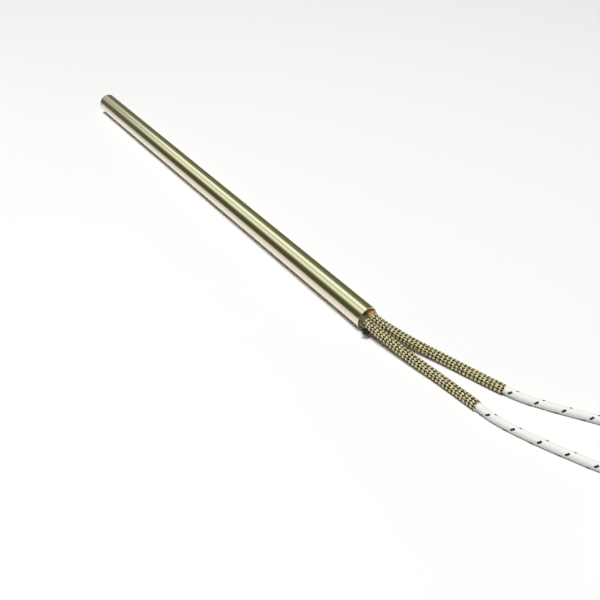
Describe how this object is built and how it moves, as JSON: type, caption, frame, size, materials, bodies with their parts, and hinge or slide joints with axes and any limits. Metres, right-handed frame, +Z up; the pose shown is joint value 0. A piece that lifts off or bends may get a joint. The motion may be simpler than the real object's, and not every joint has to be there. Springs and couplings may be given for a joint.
{
  "type": "cartridge heater",
  "caption": "Slim round cartridge heater: closed metal sheath with a wound ceramic core, and leads in braided metal sleeves leaving one potted end.",
  "frame": {"origin": "middle of the sheath's length, on the surface that it lies on", "axes": "+X along the heater from its closed end to its lead end, +Z up"},
  "size_m": [0.3045, 0.0431, 0.008],
  "materials": {
    "sheath": "polished stainless steel",
    "end_cap": "welded stainless steel, duller than the tube",
    "ceramic": "unglazed magnesia ceramic",
    "resistance_wire": "oxidised nickel chromium wire",
    "magnesia": "compacted magnesia powder",
    "pins": "nickel",
    "strands": "stranded nickel wire",
    "potting": "amber resin cement",
    "braid": "bright stainless wire braid",
    "lead": "white glass braid with a black tracer",
    "tie": "coated tie"
  },
  "bodies": {
    "root": {"sheath": "sheath", "end_cap": "end_cap", "end_spacer": "ceramic", "core_1": "ceramic", "core_2": "ceramic", "core_3": "ceramic", "core_4": "ceramic", "core_5": "ceramic", "heating_wire": "resistance_wire", "magnesia_fill": "magnesia", "pin_long": "pins", "pin_short": "pins", "head_insulator": "ceramic", "barrel_front": "pins", "barrel_rear": "pins", "strand_front": "strands", "strand_rear": "strands", "potting": "potting", "sleeve_front": "braid", "sleeve_rear": "braid", "lead_front": "lead", "lead_rear": "lead", "lead_coil": "lead", "coil_tie": "tie", "bare_end_front": "strands", "bare_end_rear": "strands"}
  },
  "joints": []
}
